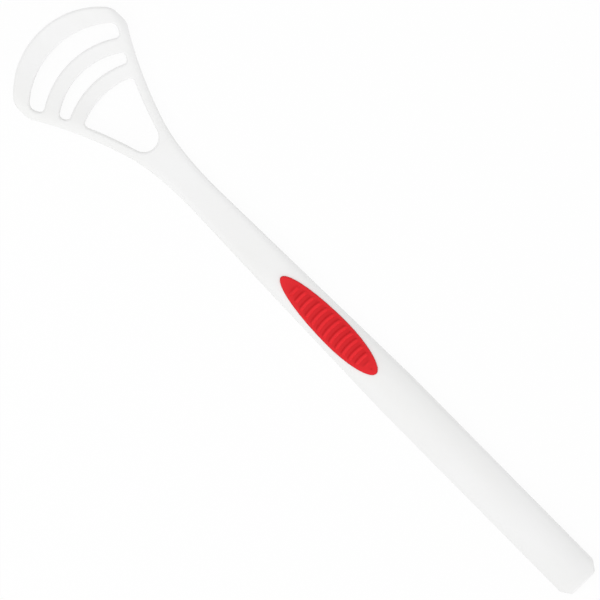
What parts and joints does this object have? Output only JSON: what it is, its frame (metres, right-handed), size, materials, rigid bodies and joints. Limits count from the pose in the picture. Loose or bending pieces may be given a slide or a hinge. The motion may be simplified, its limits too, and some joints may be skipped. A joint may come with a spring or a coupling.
{
  "type": "tongue scraper",
  "caption": "Flat tongue scraper: an open head of curved cross blades between side rails, a slim neck and a straight handle with a ribbed soft thumb grip let into its front.",
  "frame": {"origin": "middle of the length and width, on the plane that the back rests on", "axes": "+X along the handle to the tip of the head, +Y across the width, +Z out of the front with the grip"},
  "size_m": [0.168, 0.03, 0.0054],
  "materials": {
    "white_plastic": "satin moulded",
    "red_soft_grip": "matte soft-touch"
  },
  "bodies": {
    "root": {"scraper_body": "white_plastic", "thumb_grip": "red_soft_grip"}
  },
  "joints": []
}
